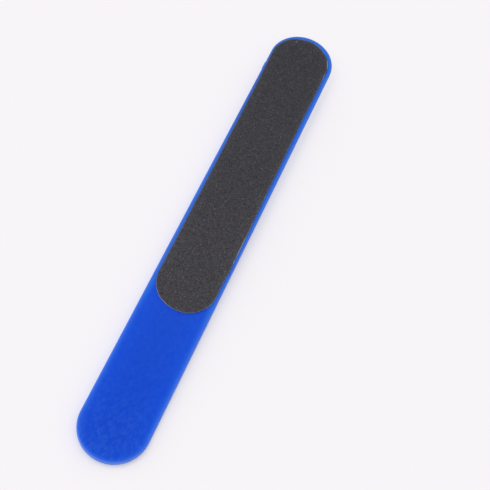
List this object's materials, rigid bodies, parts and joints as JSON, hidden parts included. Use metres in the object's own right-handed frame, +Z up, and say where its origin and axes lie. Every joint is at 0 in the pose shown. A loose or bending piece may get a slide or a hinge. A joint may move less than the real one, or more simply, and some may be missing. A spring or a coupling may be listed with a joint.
{
  "type": "nail file",
  "caption": "Flat round-ended plastic nail file with an abrasive paper strip bonded to each face and a bare handle end.",
  "frame": {"origin": "under the middle of the blade, on the surface that the file lies on, which touches the back strip's grit", "axes": "+X along the file towards its tip, +Y to the left seen from above, +Z up, out of the front strip's grit"},
  "size_m": [0.2, 0.0267, 0.0036],
  "materials": {
    "blue_plastic": "satin",
    "clear_adhesive": "satin",
    "grey_paper": "matte",
    "coarse_grit": "matte",
    "fine_grit": "matte"
  },
  "bodies": {
    "root": {"blade": "blue_plastic", "front_adhesive_film": "clear_adhesive", "front_backing_paper": "grey_paper", "front_grit_coat": "coarse_grit", "back_adhesive_film": "clear_adhesive", "back_backing_paper": "grey_paper", "back_grit_coat": "fine_grit"}
  },
  "joints": []
}
